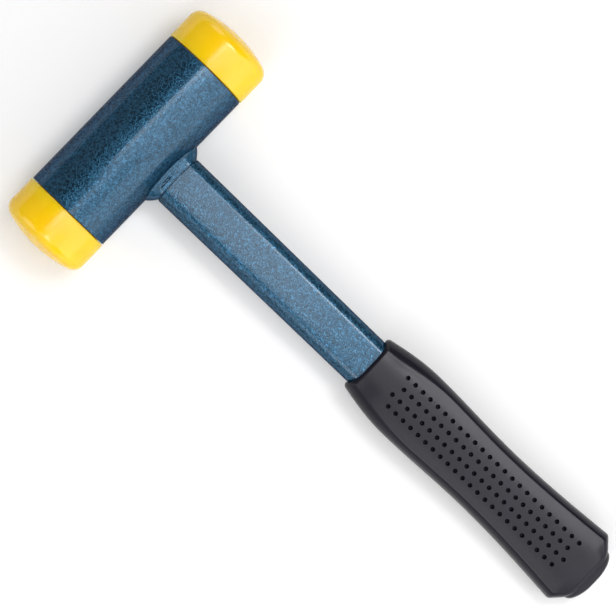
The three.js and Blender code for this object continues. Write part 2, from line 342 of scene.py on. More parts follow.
class Graph:
    """Places shader nodes in one tree and joins them."""

    def __init__(self, tree: Tree) -> None:
        """Works in that tree."""
        self.tree = tree

    def feed(self, node: Node, inputs: dict) -> None:
        """Feeds the sockets of a node.

        Args:
            node: the node.
            inputs: socket names or numbers, each with a value or the socket that feeds it.
        """
        for key, value in inputs.items():
            if isinstance(value, Socket):
                self.tree.links.new(value, node.inputs[key])
            else:
                node.inputs[key].default_value = value

    def node(self, kind: str, inputs: dict | None = None, **settings: object) -> Node:
        """Adds a node.

        Args:
            kind: the node's type name.
            inputs: socket names or numbers, each with a value or the socket that feeds it.
            settings: properties of the node.

        Returns:
            The node.
        """
        node = self.tree.nodes.new(kind)
        for name, value in settings.items():
            setattr(node, name, value)
        self.feed(node, inputs or {})
        return node

    def maths(self, operation: str, *values: object) -> Socket:
        """Adds a Math node and gives its result."""
        return self.node("ShaderNodeMath", dict(enumerate(values)), operation=operation).outputs[0]

    def average(self, one: Socket, other: Socket) -> Socket:
        """Gives the mean of two values."""
        return self.maths("ADD", self.maths("MULTIPLY", one, 0.5), self.maths("MULTIPLY", other, 0.5))

    def span(self, value: Socket, source: Pair, target: Pair) -> Socket:
        """Maps a value from one range to another, held at both ends, and gives the result."""
        inputs = dict(enumerate((value, *source, *target)))
        return self.node("ShaderNodeMapRange", inputs).outputs[0]

    def noise(self, place: Socket, scale: object, detail: float, twist: float = 0.0) -> Socket:
        """Adds a noise texture and gives its value."""
        inputs = {"Vector": place, "Scale": scale, "Detail": detail, "Distortion": twist}
        return self.node("ShaderNodeTexNoise", inputs).outputs[0]

    def blend(self, share: Socket, low: Colour, high: Colour) -> Socket:
        """Mixes two colours by a share and gives the result."""
        inputs = {0: share, 6: (*low, 1), 7: (*high, 1)}
        return self.node("ShaderNodeMix", inputs, data_type="RGBA").outputs[2]

    def dent(self, height: Socket, strength: float, depth: float) -> Socket:
        """Dents the surface by a height, up to a depth in metres, and gives the normal."""
        inputs = {"Strength": strength, "Distance": depth, "Height": height}
        return self.node("ShaderNodeBump", inputs).outputs[0]

    def effect(self, group: Tree, **inputs: object) -> Node:
        """Places a shared effect with its own values."""
        named = {name.replace("_", " ").capitalize(): value for name, value in inputs.items()}
        return self.node("ShaderNodeGroup", named, node_tree=group)


def new_effect(name: str, inputs: dict[str, float], outputs: tuple[str, ...]) -> tuple[Graph, Node, Node]:
    """Starts a shader node group that reads Object coordinates.

    Args:
        name: the group's name.
        inputs: names of its number sockets with their usual values.
        outputs: names of the numbers that it puts out.

    Returns:
        The graph inside the group, its input node and its output node.
    """
    tree = bpy.data.node_groups.new(name, "ShaderNodeTree")
    tree.interface.new_socket("Place", in_out="INPUT", socket_type="NodeSocketVector")
    for label, value in inputs.items():
        socket = tree.interface.new_socket(label, in_out="INPUT", socket_type="NodeSocketFloat")
        socket.default_value = value
    for label in outputs:
        tree.interface.new_socket(label, in_out="OUTPUT", socket_type="NodeSocketFloat")
    graph = Graph(tree)
    return graph, graph.node("NodeGroupInput"), graph.node("NodeGroupOutput")


@dataclass(frozen=True)
class FineGrain:
    """Fine grain of a moulded or rolled surface: two octaves of noise as a height and a tone."""

    per_metre: float = 2500.0
    fine_detail: float = 2.0
    coarse_share: float = 0.4
    coarse_scale: float = 0.27
    coarse_detail: float = 1.0
    tones: Pair = (0.35, 0.65)

    def group(self) -> Tree:
        """Builds the node group.

        Returns:
            The group, whose height is the blend of fine and coarse noise by the coarse share.
        """
        usual = {"Grains per metre": self.per_metre, "Coarse share": self.coarse_share}
        graph, given, result = new_effect("fine_grain", usual, ("Height", "Tone"))
        place, scale = given.outputs["Place"], given.outputs["Grains per metre"]
        share = given.outputs["Coarse share"]
        fine = graph.noise(place, scale, self.fine_detail)
        coarse_scale = graph.maths("MULTIPLY", scale, self.coarse_scale)
        coarse = graph.noise(place, coarse_scale, self.coarse_detail)
        part = graph.maths("MULTIPLY", coarse, share)
        rest = graph.maths("MULTIPLY", fine, graph.maths("SUBTRACT", 1.0, share))
        height = graph.maths("ADD", part, rest)
        graph.feed(result, {"Height": height, "Tone": graph.span(height, self.tones, WHOLE)})
        return graph.tree


@dataclass(frozen=True)
class HandlingMarks:
    """Marks of handling: broad smears and thin rubs as masks from 0 to 1."""

    per_metre: float = 45.0
    smear_detail: float = 4.0
    smear_twist: float = 0.6
    smears: Pair = (0.3, 0.7)
    rub_slant: Place = (0.4, 0.2, 0.7)
    rub_stretch: Place = (1.0, 9.0, 5.0)
    rub_scale: float = 2.0
    rub_detail: float = 3.0
    rubs: Pair = (0.6, 0.75)

    def group(self) -> Tree:
        """Builds the node group.

        Returns:
            The group: smears are twisted noise, rubs are finer noise stretched along a slant.
        """
        usual = {"Smears per metre": self.per_metre}
        graph, given, result = new_effect("handling_marks", usual, ("Smear", "Rub"))
        place, scale = given.outputs["Place"], given.outputs["Smears per metre"]
        smear = graph.noise(place, scale, self.smear_detail, self.smear_twist)
        stretch = {"Vector": place, "Rotation": self.rub_slant, "Scale": self.rub_stretch}
        stretched = graph.node("ShaderNodeMapping", stretch).outputs[0]
        rub = graph.noise(stretched, graph.maths("MULTIPLY", scale, self.rub_scale), self.rub_detail)
        graph.feed(result, {"Smear": graph.span(smear, self.smears, WHOLE),
                            "Rub": graph.span(rub, self.rubs, WHOLE)})
        return graph.tree


class Effects:
    """Shared effects, built once."""

    def __init__(self) -> None:
        """Builds both node groups."""
        self.grain = FineGrain().group()
        self.handling = HandlingMarks().group()


@dataclass(frozen=True)
class GlossWithPaintedRimShade:
    """Clear gloss over a textured skin, thinned at a glancing angle so that the outline darkens: a
    painted shade on the rim.

    Attributes:
        weight: share of the gloss seen straight on.
        rim: share that is left at the outline, where the thinned coat paints shade.
        roughness: how much it blurs.
        painted_shade_glance: share of a full glance where the thinning, a painted shade of the outline,
            starts and ends.
    """

    weight: float
    rim: float
    roughness: float
    painted_shade_glance: Pair = (0.25, 0.6)

    def lay_on(self, graph: Graph, shader: Node) -> None:
        """Sets a coat that fades evenly from weight to rim as the surface turns away, which paints shade
        along the outline.

        Args:
            graph: the material's graph.
            shader: its Principled shader.
        """
        # Painted shade: the coat thins towards the outline, so the rim reflects less light.
        glance = graph.node("ShaderNodeLayerWeight", {"Blend": 0.5}).outputs["Facing"]
        weight = graph.span(glance, self.painted_shade_glance, (self.weight, self.rim))
        graph.feed(shader, {"Coat Weight": weight, "Coat Roughness": self.roughness})


def new_material(name: str) -> tuple[Material, Graph, Node, Socket]:
    """Starts a material.

    Args:
        name: the material's name.

    Returns:
        The material, its graph, its Principled shader and its Object coordinates.
    """
    material = bpy.data.materials.new(name)
    material.use_nodes = True
    graph = Graph(material.node_tree)
    shader = next(n for n in graph.tree.nodes if n.type == "BSDF_PRINCIPLED")
    return material, graph, shader, graph.node("ShaderNodeTexCoord").outputs["Object"]


@dataclass(frozen=True)
class Hammertone:
    """Baked hammertone paint: a web of metal flake round dark pools, under a clear coat."""

    pool: Colour = (0.006, 0.027, 0.050)
    worm: Colour = (0.048, 0.167, 0.295)
    # Dark glancing tint: a painted shade that keeps the outline from brightening.
    edge: Colour = (0.05, 0.12, 0.17)
    worms_per_metre: float = 680.0
    worm_width: float = 0.08
    worm_detail: float = 1.5
    worm_twist: float = 0.4
    grain_depth: float = 1.2
    dimple: float = 0.00012
    dimple_strength: float = 0.6
    roughness: Pair = (0.30, 0.37)
    metal: float = 0.8
    flake_shine: float = 0.1
    gloss: GlossWithPaintedRimShade = GlossWithPaintedRimShade(0.66, 0.1, 0.15)

    def material(self, effects: Effects) -> Material:
        """Builds the paint.

        A worm lies where noise passes through its middle value: its share falls from 1 to 0 as the
        noise moves away by the worm's width. Grain breaks the worms up, and both dent the paint.

        Args:
            effects: the shared effects.

        Returns:
            The material.
        """
        material, graph, shader, place = new_material("hammertone_paint")
        grain = graph.effect(effects.grain, place=place, grains_per_metre=2100.0, coarse_share=0.3)
        marks = graph.effect(effects.handling, place=place, smears_per_metre=38.0)
        web = graph.noise(place, self.worms_per_metre, self.worm_detail, self.worm_twist)
        away = graph.maths("ABSOLUTE", graph.maths("SUBTRACT", web, 0.5))
        worm = graph.span(away, (0.0, self.worm_width), (1.0, 0.0))
        tone = graph.average(worm, grain.outputs["Tone"])
        rise = graph.maths("MULTIPLY", grain.outputs["Height"], self.grain_depth)
        height = graph.maths("ADD", worm, rise)
        graph.feed(shader, {
            "Base Color": graph.blend(tone, self.pool, self.worm),
            "Roughness": graph.span(marks.outputs["Smear"], WHOLE, self.roughness),
            "Normal": graph.dent(height, self.dimple_strength, self.dimple),
            "Metallic": self.metal,
            "Specular IOR Level": self.flake_shine,
            # The dark edge tint paints shade on the outline by dimming the metal's glancing reflection.
            "Specular Tint": (*self.edge, 1),
        })
        self.gloss.lay_on(graph, shader)
        return material


@dataclass(frozen=True)
class Polyurethane:
    """Cast yellow polyurethane: glossy, faintly cloudy, with hairline rubs."""

    body: Colour = (0.94, 0.565, 0.002)
    cloud: Colour = (0.95, 0.595, 0.004)
    roughness: Pair = (0.20, 0.28)
    rub_dulling: float = 0.06
    dent: float = 0.00002
    dent_strength: float = 0.25
    translucency: float = 0.5
    reach: Colour = (1.0, 0.6, 0.05)
    reach_scale: float = 0.015
    shine: float = 0.12
    gloss: GlossWithPaintedRimShade = GlossWithPaintedRimShade(1.0, 0.1, 0.2)

    def material(self, effects: Effects) -> Material:
        """Builds the plastic: clouds shift its yellow, smears and rubs dull its gloss.

        Args:
            effects: the shared effects.

        Returns:
            The material.
        """
        material, graph, shader, place = new_material("yellow_polyurethane")
        marks = graph.effect(effects.handling, place=place, smears_per_metre=60.0)
        grain = graph.effect(effects.grain, place=place, grains_per_metre=1400.0, coarse_share=0.7)
        smeared = graph.span(marks.outputs["Smear"], WHOLE, self.roughness)
        rubbed = graph.maths("MULTIPLY", marks.outputs["Rub"], self.rub_dulling)
        graph.feed(shader, {
            "Base Color": graph.blend(marks.outputs["Smear"], self.body, self.cloud),
            "Roughness": graph.maths("ADD", smeared, rubbed),
            "Normal": graph.dent(grain.outputs["Height"], self.dent_strength, self.dent),
            "Subsurface Weight": self.translucency,
            "Subsurface Radius": self.reach,
            "Subsurface Scale": self.reach_scale,
            "Specular IOR Level": self.shine,
        })
        self.gloss.lay_on(graph, shader)
        return material


@dataclass(frozen=True)
class GripRubber:
    """Black moulded rubber with a satin, finely textured skin."""

    skin: Colour = (0.006, 0.0055, 0.010)
    bloom: Colour = (0.011, 0.010, 0.017)
    tint: Colour = (0.92, 0.90, 1.0)
    roughness: Pair = (0.28, 0.34)
    dent: float = 0.000008
    dent_strength: float = 0.4
    shine: float = 0.10
    gloss: GlossWithPaintedRimShade = GlossWithPaintedRimShade(0.37, 0.03, 0.3)

    def material(self, effects: Effects) -> Material:
        """Builds the rubber: grain dents it, and a faint bloom lightens it in patches.

        Args:
            effects: the shared effects.

        Returns:
            The material.
        """
        material, graph, shader, place = new_material("grip_rubber")
        grain = graph.effect(effects.grain, place=place, grains_per_metre=3200.0, coarse_share=0.3)
        marks = graph.effect(effects.handling, place=place, smears_per_metre=50.0)
        tone = graph.average(grain.outputs["Tone"], marks.outputs["Smear"])
        graph.feed(shader, {
            "Base Color": graph.blend(tone, self.skin, self.bloom),
            "Roughness": graph.span(marks.outputs["Smear"], WHOLE, self.roughness),
            "Normal": graph.dent(grain.outputs["Height"], self.dent_strength, self.dent),
            "Specular IOR Level": self.shine,
            "Specular Tint": (*self.tint, 1),
        })
        self.gloss.lay_on(graph, shader)
        return material


@dataclass(frozen=True)
class BareSteel:
    """Bare or zinc-plated steel with fine rolling lines and dull smears."""

    name: str
    bright: Colour = (0.56, 0.57, 0.58)
    dull: Colour = (0.36, 0.37, 0.39)
    roughness: float = 0.26
    grain_dulling: float = 0.14
    dent: float = 0.00002
    dent_strength: float = 0.3

    def material(self, effects: Effects) -> Material:
        """Builds the metal: smears dull it and grain breaks its gloss.

        Args:
            effects: the shared effects.

        Returns:
            The material.
        """
        material, graph, shader, place = new_material(self.name)
        marks = graph.effect(effects.handling, place=place, smears_per_metre=120.0)
        grain = graph.effect(effects.grain, place=place, grains_per_metre=4000.0, coarse_share=0.4)
        roughness = (self.roughness, self.roughness + self.grain_dulling)
        graph.feed(shader, {
            "Base Color": graph.blend(marks.outputs["Smear"], self.bright, self.dull),
            "Roughness": graph.span(grain.outputs["Tone"], WHOLE, roughness),
            "Normal": graph.dent(grain.outputs["Height"], self.dent_strength, self.dent),
            "Metallic": 1.0,
        })
        return material


class Finishes:
    """Materials of the hammer by slot."""

    def __init__(self) -> None:
        """Builds the shared effects and then every material."""
        effects = Effects()
        shot = BareSteel("bright_steel_shot", bright=(0.62, 0.62, 0.62), roughness=0.18)
        self._materials = {
            Slot.PAINT: Hammertone().material(effects),
            Slot.FACE: Polyurethane().material(effects),
            Slot.GRIP: GripRubber().material(effects),
            Slot.DISC: BareSteel("zinc_plated_steel").material(effects),
            Slot.SHOT: shot.material(effects),
        }

    def dress(self, piece: Piece, slot: Slot, body: Body, *nodes: str) -> None:
        """Gives a piece its material, lets it ride on a body and replace its CAD nodes.

        Args:
            piece: the object.
            slot: its material slot.
            body: the body that it moves with.
            nodes: names of the CAD nodes that it stands for.
        """
        piece.data.materials.clear()
        piece.data.materials.append(self._materials[slot])
        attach(piece, body.value)
        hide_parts(*nodes)
        faces = len(piece.data.polygons)
        log.info("%s: %d faces, %s on %s", piece.name, faces, slot.value, body.value)


@dataclass
class HeadTube:
    """Head tube: bored through and opened out at both ends, turned from one closed profile."""

    radius: float = 19.7
    half_length: float = 40.3
    seat_radius: float = 17.5
    chamber_radius: float = 16.5
    seat_plane: float = 26.0
    edge: float = 0.4
    edge_steps: int = 5
    steps: int = 192

    def profile(self) -> Array:
        """Half of the profile from the middle outside, over the rounded rim, to the middle inside.

        Returns:
            Radius and height pairs.
        """
        rim = self.half_length - self.edge
        outer = arc((self.radius - self.edge, rim), self.edge, 0, pi / 2, self.edge_steps)
        inner = arc((self.seat_radius + self.edge, rim), self.edge, pi / 2, pi, self.edge_steps)
        bore = [[self.seat_radius, self.seat_plane], [self.chamber_radius, self.seat_plane]]
        return np.vstack([[[self.radius, 0]], outer, inner, bore, [[self.chamber_radius, 0]]])

    def dress(self, lay: Lay, finishes: Finishes) -> None:
        """Turns the profile and its mirror image into one ring-shaped solid, and paints it.

        Args:
            lay: how the hammer lies.
            finishes: the materials.
        """
        skin = Skin("head_shell")
        for side in Side:
            skin.sweep(turned(self.profile() * [1, side.value], self.steps))
        finishes.dress(skin.build(lay), Slot.PAINT, Body.HAMMER, "head_tube")


@dataclass
class StrikingFace:
    """Striking face: a barbed spigot in the head and a crowned, round-edged hitting end."""

    radius: float = 19.98
    height: float = 19.2
    crown_radius: float = 55.0
    rim_radius: float = 5.2
    heel: float = 0.5
    plane: float = 40.6
    spigot_radius: float = 17.35
    spigot_length: float = 10.0
    barb_pitch: float = 3.2
    barb_height: float = 0.5
    barb_drop: float = 0.15
    heel_steps: int = 5
    rim_steps: int = 18
    crown_steps: int = 16
    steps: int = 192

    def spigot(self) -> Array:
        """Sawtooth of the barbs: each rises evenly from the root to its crest and drops back.

        Returns:
            Radius and height pairs, from the middle of the spigot's end to its root.
        """
        end, root = -self.spigot_length, self.spigot_radius - self.barb_height
        crests = np.arange(self.barb_pitch, self.spigot_length, self.barb_pitch) + end
        tips = np.stack([0 * crests + self.spigot_radius, crests], axis=-1)
        feet = np.stack([0 * crests + root, crests + self.barb_drop], axis=-1)
        teeth = np.stack([tips, feet], axis=1).reshape(-1, 2)
        return np.vstack([[[0, end], [root, end]], teeth, [[root, 0]]])

    def hitting_end(self) -> Array:
        """Heel, straight side, rim arc and crown arc, which meets the rim with no corner.

        The rim's centre lies rim_radius in from the side, at the height where a circle of
        rim_radius touches the crown's circle from inside.

        Returns:
            Radius and height pairs, from the heel to the middle of the crown.
        """
        centre = self.radius - self.rim_radius
        crown = self.height - self.crown_radius
        rim = crown + sqrt((self.crown_radius - self.rim_radius) ** 2 - centre ** 2)
        meet = atan2(rim - crown, centre)
        heel = arc((self.radius - self.heel, self.heel), self.heel, -pi / 2, 0, self.heel_steps)
        edge = arc((centre, rim), self.rim_radius, 0, meet, self.rim_steps)
        dome = arc((0, crown), self.crown_radius, meet, pi / 2, self.crown_steps)
        return np.vstack([heel, edge, dome[1:]])

    def build(self, lay: Lay, side: Side) -> Piece:
        """Turns the whole profile and sets its shoulder at the end of the head.

        Args:
            lay: how the hammer lies.
            side: end of the head.

        Returns:
            The face.
        """
        profile = np.vstack([self.spigot(), self.hitting_end()]) + [0, self.plane]
        skin = Skin(f"face_{side.name.lower()}")
        skin.sweep(turned(profile * [1, side.value], self.steps))
        return skin.build(lay)

    def dress(self, lay: Lay, finishes: Finishes) -> None:
        """Builds both faces in yellow polyurethane."""
        for side, body in ((Side.RIGHT, Body.RIGHT_FACE), (Side.LEFT, Body.LEFT_FACE)):
            finishes.dress(self.build(lay, side), Slot.FACE, body, f"striking_face_{side.name.lower()}")


@dataclass
class ClosingDisc:
    """Closing disc: a pressed cup that seals the shot chamber behind a face."""

    radius: float = 17.35
    plane: float = 26.3
    thickness: float = 1.6
    rim: float = 4.0
    bend: float = 1.2
    fillet: float = 0.6
    bend_steps: int = 8
    lip_steps: int = 10
    fillet_steps: int = 6
    steps: int = 128

    def profile(self) -> Array:
        """Floor, outer bend, rim with a rounded lip, and the inner corner.

        Returns:
            Radius and height pairs.
        """
        lip = self.thickness / 2
        corner = (self.radius - self.thickness - self.fillet, self.thickness + self.fillet)
        return np.vstack([
            [[0, 0]],
            arc((self.radius - self.bend, self.bend), self.bend, -pi / 2, 0, self.bend_steps),
            arc((self.radius - lip, self.rim - lip), lip, 0, pi, self.lip_steps),
            arc(corner, self.fillet, 0, -pi / 2, self.fillet_steps),
            [[0, self.thickness]],
        ])

    def dress(self, lay: Lay, finishes: Finishes) -> None:
        """Builds both discs in zinc-plated steel.

        Args:
            lay: how the hammer lies.
            finishes: the materials.
        """
        for side in Side:
            skin = Skin(f"disc_{side.name.lower()}")
            skin.sweep(turned((self.profile() + [0, self.plane]) * [1, side.value], self.steps))
            finishes.dress(skin.build(lay), Slot.DISC, Body.HAMMER, f"closing_disc_{side.name.lower()}")


@dataclass
class ShotCharge:
    """Loose steel shot: layers of one ball inside a ring of balls, alternate layers turned."""

    diameter: float = 10.6
    gap: float = 0.3
    ring_radius: float = 10.9
    layers: int = 4
    ring: int = 6
    steps: int = 24

    def places(self) -> Array:
        """Centres of the balls, layer by layer, the middle ball first.

        Returns:
            Points, balls by 3.
        """
        layer, ball = np.meshgrid(np.arange(self.layers), np.arange(-1, self.ring), indexing="ij")
        angle = (ball + (layer % 2) / 2) * 2 * pi / self.ring
        reach = np.where(ball < 0, 0, self.ring_radius)
        y = (layer - (self.layers - 1) / 2) * (self.diameter + self.gap)
        return np.stack([reach * np.sin(angle), y, reach * np.cos(angle)], axis=-1).reshape(-1, 3)

    def dress(self, lay: Lay, finishes: Finishes) -> None:
        """Builds each ball from a half circle turned about its own axis.

        Args:
            lay: how the hammer lies.
            finishes: the materials.
        """
        ball = turned(arc((0, 0), self.diameter / 2, -pi / 2, pi / 2, self.steps), 2 * self.steps)
        for number, place in enumerate(self.places(), start=1):
            skin = Skin(f"ball_{number:02d}")
            skin.sweep(ball + place)
            finishes.dress(skin.build(lay), Slot.SHOT, Body.SHOT, f"shot_ball_{number:02d}")


@dataclass
class HandleTube:
    """Handle tube: a flat oval that widens a little towards the head, saddled on it."""

    head_radius: float = 19.7
    root: float = 23.65
    mouth: float = 130.4
    end: float = 257.4
    width: float = 22.2
    root_width: float = 23.15
    thickness: float = 10.5
    side: float = 5.0
    crown: float = 0.013
    wall: float = 1.8
    sink: float = 0.5
    toe: float = 23.1
    toe_bow: float = 0.5
    groove: float = 0.25
    groove_places: tuple[float, ...] = (-0.1, 0.15, 0.4, 0.7)
    flat_steps: int = 24
    side_steps: int = 32

    def half_width(self, x: Array) -> Array:
        """Half the width at x: root width up to the weld, then an even taper to the grip's mouth."""
        return mix(self.root_width, self.width, share_of(x, self.root, self.mouth)) / 2

    def lines(self, flat: Array) -> Array:
        """Lengthwise lines spread evenly over flats of that half width."""
        return flat[:, None] * np.linspace(-1, 1, self.flat_steps + 1)

    def rings(self, x: Array, offset: float) -> Array:
        """Rings of the tube's section grown by an offset on every side.

        Args:
            x: places of the rings.
            offset: growth, or shrinkage below 0.

        Returns:
            Grid of rings by points by 3.
        """
        half = self.half_width(x) + offset
        high = 0 * half + self.thickness / 2 + offset
        lines = self.lines(half - self.side - offset)
        return oval_rings(x, half, high, lines, self.side_steps, self.crown)

    def saddled(self, rings: Array) -> Array:
        """Moves rings along x onto a cylinder just under the head's skin.

        Args:
            rings: points with x, y, z last.

        Returns:
            The moved points: x is the root of the cylinder's radius squared less z squared.
        """
        moved = rings.copy()
        moved[..., 0] = np.sqrt((self.head_radius - self.sink) ** 2 - rings[..., 2] ** 2)
        return moved

    def toe_line(self, ring: Array) -> Array:
        """Places along x where the weld ends on a ring, set back in the middle of the flats."""
        return self.toe - self.toe_bow * (1 - (ring[..., 1] / ring[..., 1].max()) ** 2)

    def grooved(self) -> Array:
        """Rings of a shallow groove that follows the toe of the weld.

        Returns:
            Grid of four rings: the groove's near edge, both ends of its floor and its far edge.
        """
        depths, root = (0.0, self.groove, self.groove, 0.0), np.array([self.root])
        rings = np.concatenate([self.rings(root, -depth) for depth in depths])
        rings[..., 0] = self.toe_line(rings[0]) + np.array(self.groove_places)[:, None]
        return rings

    def dress(self, lay: Lay, finishes: Finishes) -> None:
        """Builds outer and inner skin, joined at the saddle and at the square end.

        Args:
            lay: how the hammer lies.
            finishes: the materials.
        """
        outer = self.rings(np.array([self.head_radius, self.mouth, self.end]), 0.0)
        inner = self.rings(np.array([self.head_radius, self.root, self.mouth, self.end]), -self.wall)
        outer[0], inner[0] = self.saddled(outer[0]), self.saddled(inner[0])
        skin = Skin("handle_oval")
        skin.sweep(np.concatenate([outer[:1], self.grooved(), outer[1:], inner[::-1], outer[:1]]))
        finishes.dress(skin.build(lay), Slot.PAINT, Body.HAMMER, "handle_tube")


@dataclass
class WeldBead:
    """Weld bead round the handle's root, under the paint: wide on the edges, thin on the flats."""

    handle: HandleTube
    side_leg: float = 3.6
    face_leg: float = 1.8
    crown: float = 0.2
    side_crown: float = 1.6
    hollow: float = 2.0
    bow: float = 0.09
    tuck: float = 0.6
    lap_place: Pair = (20.7, -3.8)
    lap_size: Pair = (0.4, 3.4)
    lap_depth: float = 0.55
    steps: int = 24

    def lapped(self, rings: Array) -> Array:
        """Share of a short lap line in the bead.

        A bell curve round the line's place, over the square of the distance in x and the fourth
        power of the distance in y. Below, the line is turned over.

        Args:
            rings: points of the bead.

        Returns:
            Shares from 0 to 1, rings by points.
        """
        below = np.sign(rings[..., 2])
        along = (rings[..., 0] - self.lap_place[0]) / self.lap_size[0]
        across = (rings[..., 1] * below - self.lap_place[1]) / self.lap_size[1]
        return np.exp(-along ** 2 - across ** 4)

    def dress(self, lay: Lay, finishes: Finishes) -> None:
        """Builds the bead as rings from the head's skin to its toe on the handle.

        Each ring is the handle's section grown by a leg: on the edges it falls evenly to nothing,
        on the flats by a power of the way, which hollows it like a fillet, and half a sine wave
        crowns both. On the flats the bead also bows across, less and less towards its toe. The first
        ring lies on the head's cylinder, and the bead closes inside the tubes.

        Args:
            lay: how the hammer lies.
            finishes: the materials.
        """
        tube = self.handle
        share = np.linspace(0, 1, self.steps + 1)
        swell = self.crown * np.sin(pi * share)
        half = tube.root_width / 2 + self.side_leg * (1 - share) + self.side_crown * swell
        high = tube.thickness / 2 + self.face_leg * (1 - share) ** self.hollow + swell
        lines = tube.lines(0 * share + tube.root_width / 2 - tube.side)
        crown = tube.crown + self.bow * (1 - share)
        rings = oval_rings(0 * share, half, high, lines, tube.side_steps, crown)
        foot = np.sqrt(tube.head_radius ** 2 - rings[0, :, 2] ** 2)
        toe = tube.toe_line(rings[-1])
        rings[..., 0] = mix(foot, toe, share[:, None])
        rings[..., 2] *= 1 - self.lap_depth / tube.thickness * 2 * self.lapped(rings)
        inner = tube.rings(np.array([tube.head_radius, tube.head_radius]), -tube.wall / 2)
        inner[0, :, 0] = toe - self.tuck
        inner[1] = tube.saddled(inner[1])
        sunk = tube.saddled(rings[:1])
        skin = Skin("weld_bead")
        skin.sweep(np.concatenate([sunk, rings, inner, sunk]))
        finishes.dress(skin.build(lay), Slot.PAINT, Body.HAMMER, "weld_collar")


@dataclass
class GripSleeve:
    """Grip sleeve: a waisted rubber moulding with blind holes and a boss over the tube's end."""

    handle: HandleTube
    swell: float = 155.8
    waist: float = 199.2
    flare: float = 251.0
    shoulder: float = 256.7
    butt: float = 260.19
    rise: float = 16.0
    pad_length: float = 37.6
    lip_round: float = 1.5
    mouth_dip: float = 2.4
    crown: float = 0.075
    mouth_wall: float = 2.1
    swell_wall: float = 5.45
    waist_wall: float = 4.25
    flare_wall: float = 6.95
    corner: float = 0.35
    chamfer_wall: float = 0.8
    mouth_face_wall: float = 3.6
    face_wall: float = 4.0
    side: float = 3.7
    pad_mouth: float = 8.5
    fit: float = 0.25
    bore_places: tuple[float, ...] = (1.2, 0.6, 0.2, 0.0)
    bore_flare: tuple[float, ...] = (0.0, 0.1, 0.2, 0.3)
    butt_wall: float = 2.5
    butt_round: float = 2.0
    butt_power: int = 4
    boss_wall: float = 1.7
    boss_set_back: float = 0.95
    boss_round: float = 4.5
    boss_creep: float = 0.02
    boss_end: Pair = (3.3, 3.35)
    boss_shares: tuple[float, ...] = (0.7, 0.35, 0.0)
    pit_radius: float = 0.88
    pit_wall: float = 1.5
    pit_depth: float = 3.1
    pit_edge: float = 0.14
    pit_pitch: float = 4.2
    pit_rows: int = 4
    pit_row_pitch: float = 4.65
    pit_holes: int = 24
    pit_first: float = 147.3
    strip_gap: float = 0.4
    cell: int = 4
    margin: int = 2
    side_steps: int = 36
    round_steps: int = 8
    boss_steps: int = 12
    front_steps: int = 25
    back_steps: int = 23

    def edge_wall(self, x: Array) -> Array:
        """Rubber on each edge of the tube at x.

        A quarter sine from the mouth to the swell, half a cosine to the waist, the rest of a
        cosine quarter to the flare, and a straight chamfer to the shoulder. The smaller of the last
        two counts, with their corner rounded by a log of summed exponentials.

        Args:
            x: places along the grip.

        Returns:
            Thickness at each place.
        """
        swelling = np.sin(share_of(x, self.handle.mouth, self.swell) * pi / 2)
        waisting = ease_in_out(share_of(x, self.swell, self.waist))
        flaring = 1 - np.cos(share_of(x, self.waist, self.flare) * pi / 2)
        front = mix(self.mouth_wall, self.swell_wall, swelling)
        middle = mix(self.swell_wall, self.waist_wall, waisting)
        flare = mix(self.waist_wall, self.flare_wall, flaring)
        past = (x - self.flare) / (self.shoulder - self.flare)
        chamfer = mix(self.flare_wall, self.chamfer_wall, past)
        back = -self.corner * np.logaddexp(-flare / self.corner, -chamfer / self.corner)
        return np.select([x <= self.swell, x <= self.waist], [front, middle], back)

    def lines(self, flat: Array) -> Array:
        """Lengthwise lines on a flat: an even strip for the holes between two margins.

        Args:
            flat: half the width of the flat, one for each ring.

        Returns:
            Places along y, rings by lines.
        """
        strip = np.minimum(self.pit_rows * self.pit_row_pitch / 2, flat - self.strip_gap)[:, None]
        inner = strip * np.linspace(-1, 1, self.pit_rows * self.cell + 1)
        outer = mix(flat[:, None], strip, np.arange(self.margin) / self.margin)
        return np.hstack([-outer, inner, outer[:, ::-1]])

    def from_mouth(self, x: Array, length: float) -> Array:
        """Share of the way from the mouth over a length at x, eased at both ends."""
        return ease_in_out(share_of(x, self.handle.mouth, self.handle.mouth + length))

    def half_width(self, x: Array) -> Array:
        """Half the grip's width at x."""
        return self.handle.width / 2 + self.edge_wall(x)

    def pad(self, x: Array) -> Array:
        """Half the width of the broad face at x, which widens from the mouth."""
        full = self.half_width(x) - self.side
        return mix(self.pad_mouth, full, self.from_mouth(x, self.pad_length))

    def level(self, x: Array) -> Array:
        """Height of the middle of the broad face at x."""
        wall = mix(self.mouth_face_wall, self.face_wall, self.from_mouth(x, self.rise))
        return self.handle.thickness / 2 + wall

    def body_rings(self, x: Array, inset: Array) -> Array:
        """Rings of the body.

        Args:
            x: places of the rings.
            inset: how far each is drawn in where the body's ends are rounded over.

        Returns:
            Grid of rings by points by 3.
        """
        half, high = self.half_width(x) - inset, self.level(x) - inset
        rings = oval_rings(x, half, high, self.lines(self.pad(x)), self.side_steps, self.crown)
        return self.dipped(rings, x)

    def dipped(self, rings: Array, x: Array) -> Array:
        """Sets rings near the mouth back on the broad faces.

        Args:
            rings: points of the rings, which are changed.
            x: places of the rings.

        Returns:
            The rings, moved along x by the square of their share of the height.
        """
        dip = self.mouth_dip * (1 - self.from_mouth(x, self.rise))
        height = np.abs(rings[..., 2])
        rings[..., 0] += dip[:, None] * (height / height.max(axis=1, keepdims=True)) ** 2
        return rings

    def tube_rings(self, x: Array, offset: Array) -> Array:
        """Rings that follow the tube's section at the grip.

        Args:
            x: places of the rings.
            offset: how far each is grown.

        Returns:
            Grid of rings by points by 3.
        """
        half, high = self.handle.width / 2 + offset, self.handle.thickness / 2 + offset
        flat = 0 * x + self.handle.width / 2 - self.handle.side
        return oval_rings(x, half, high, self.lines(flat), self.side_steps)

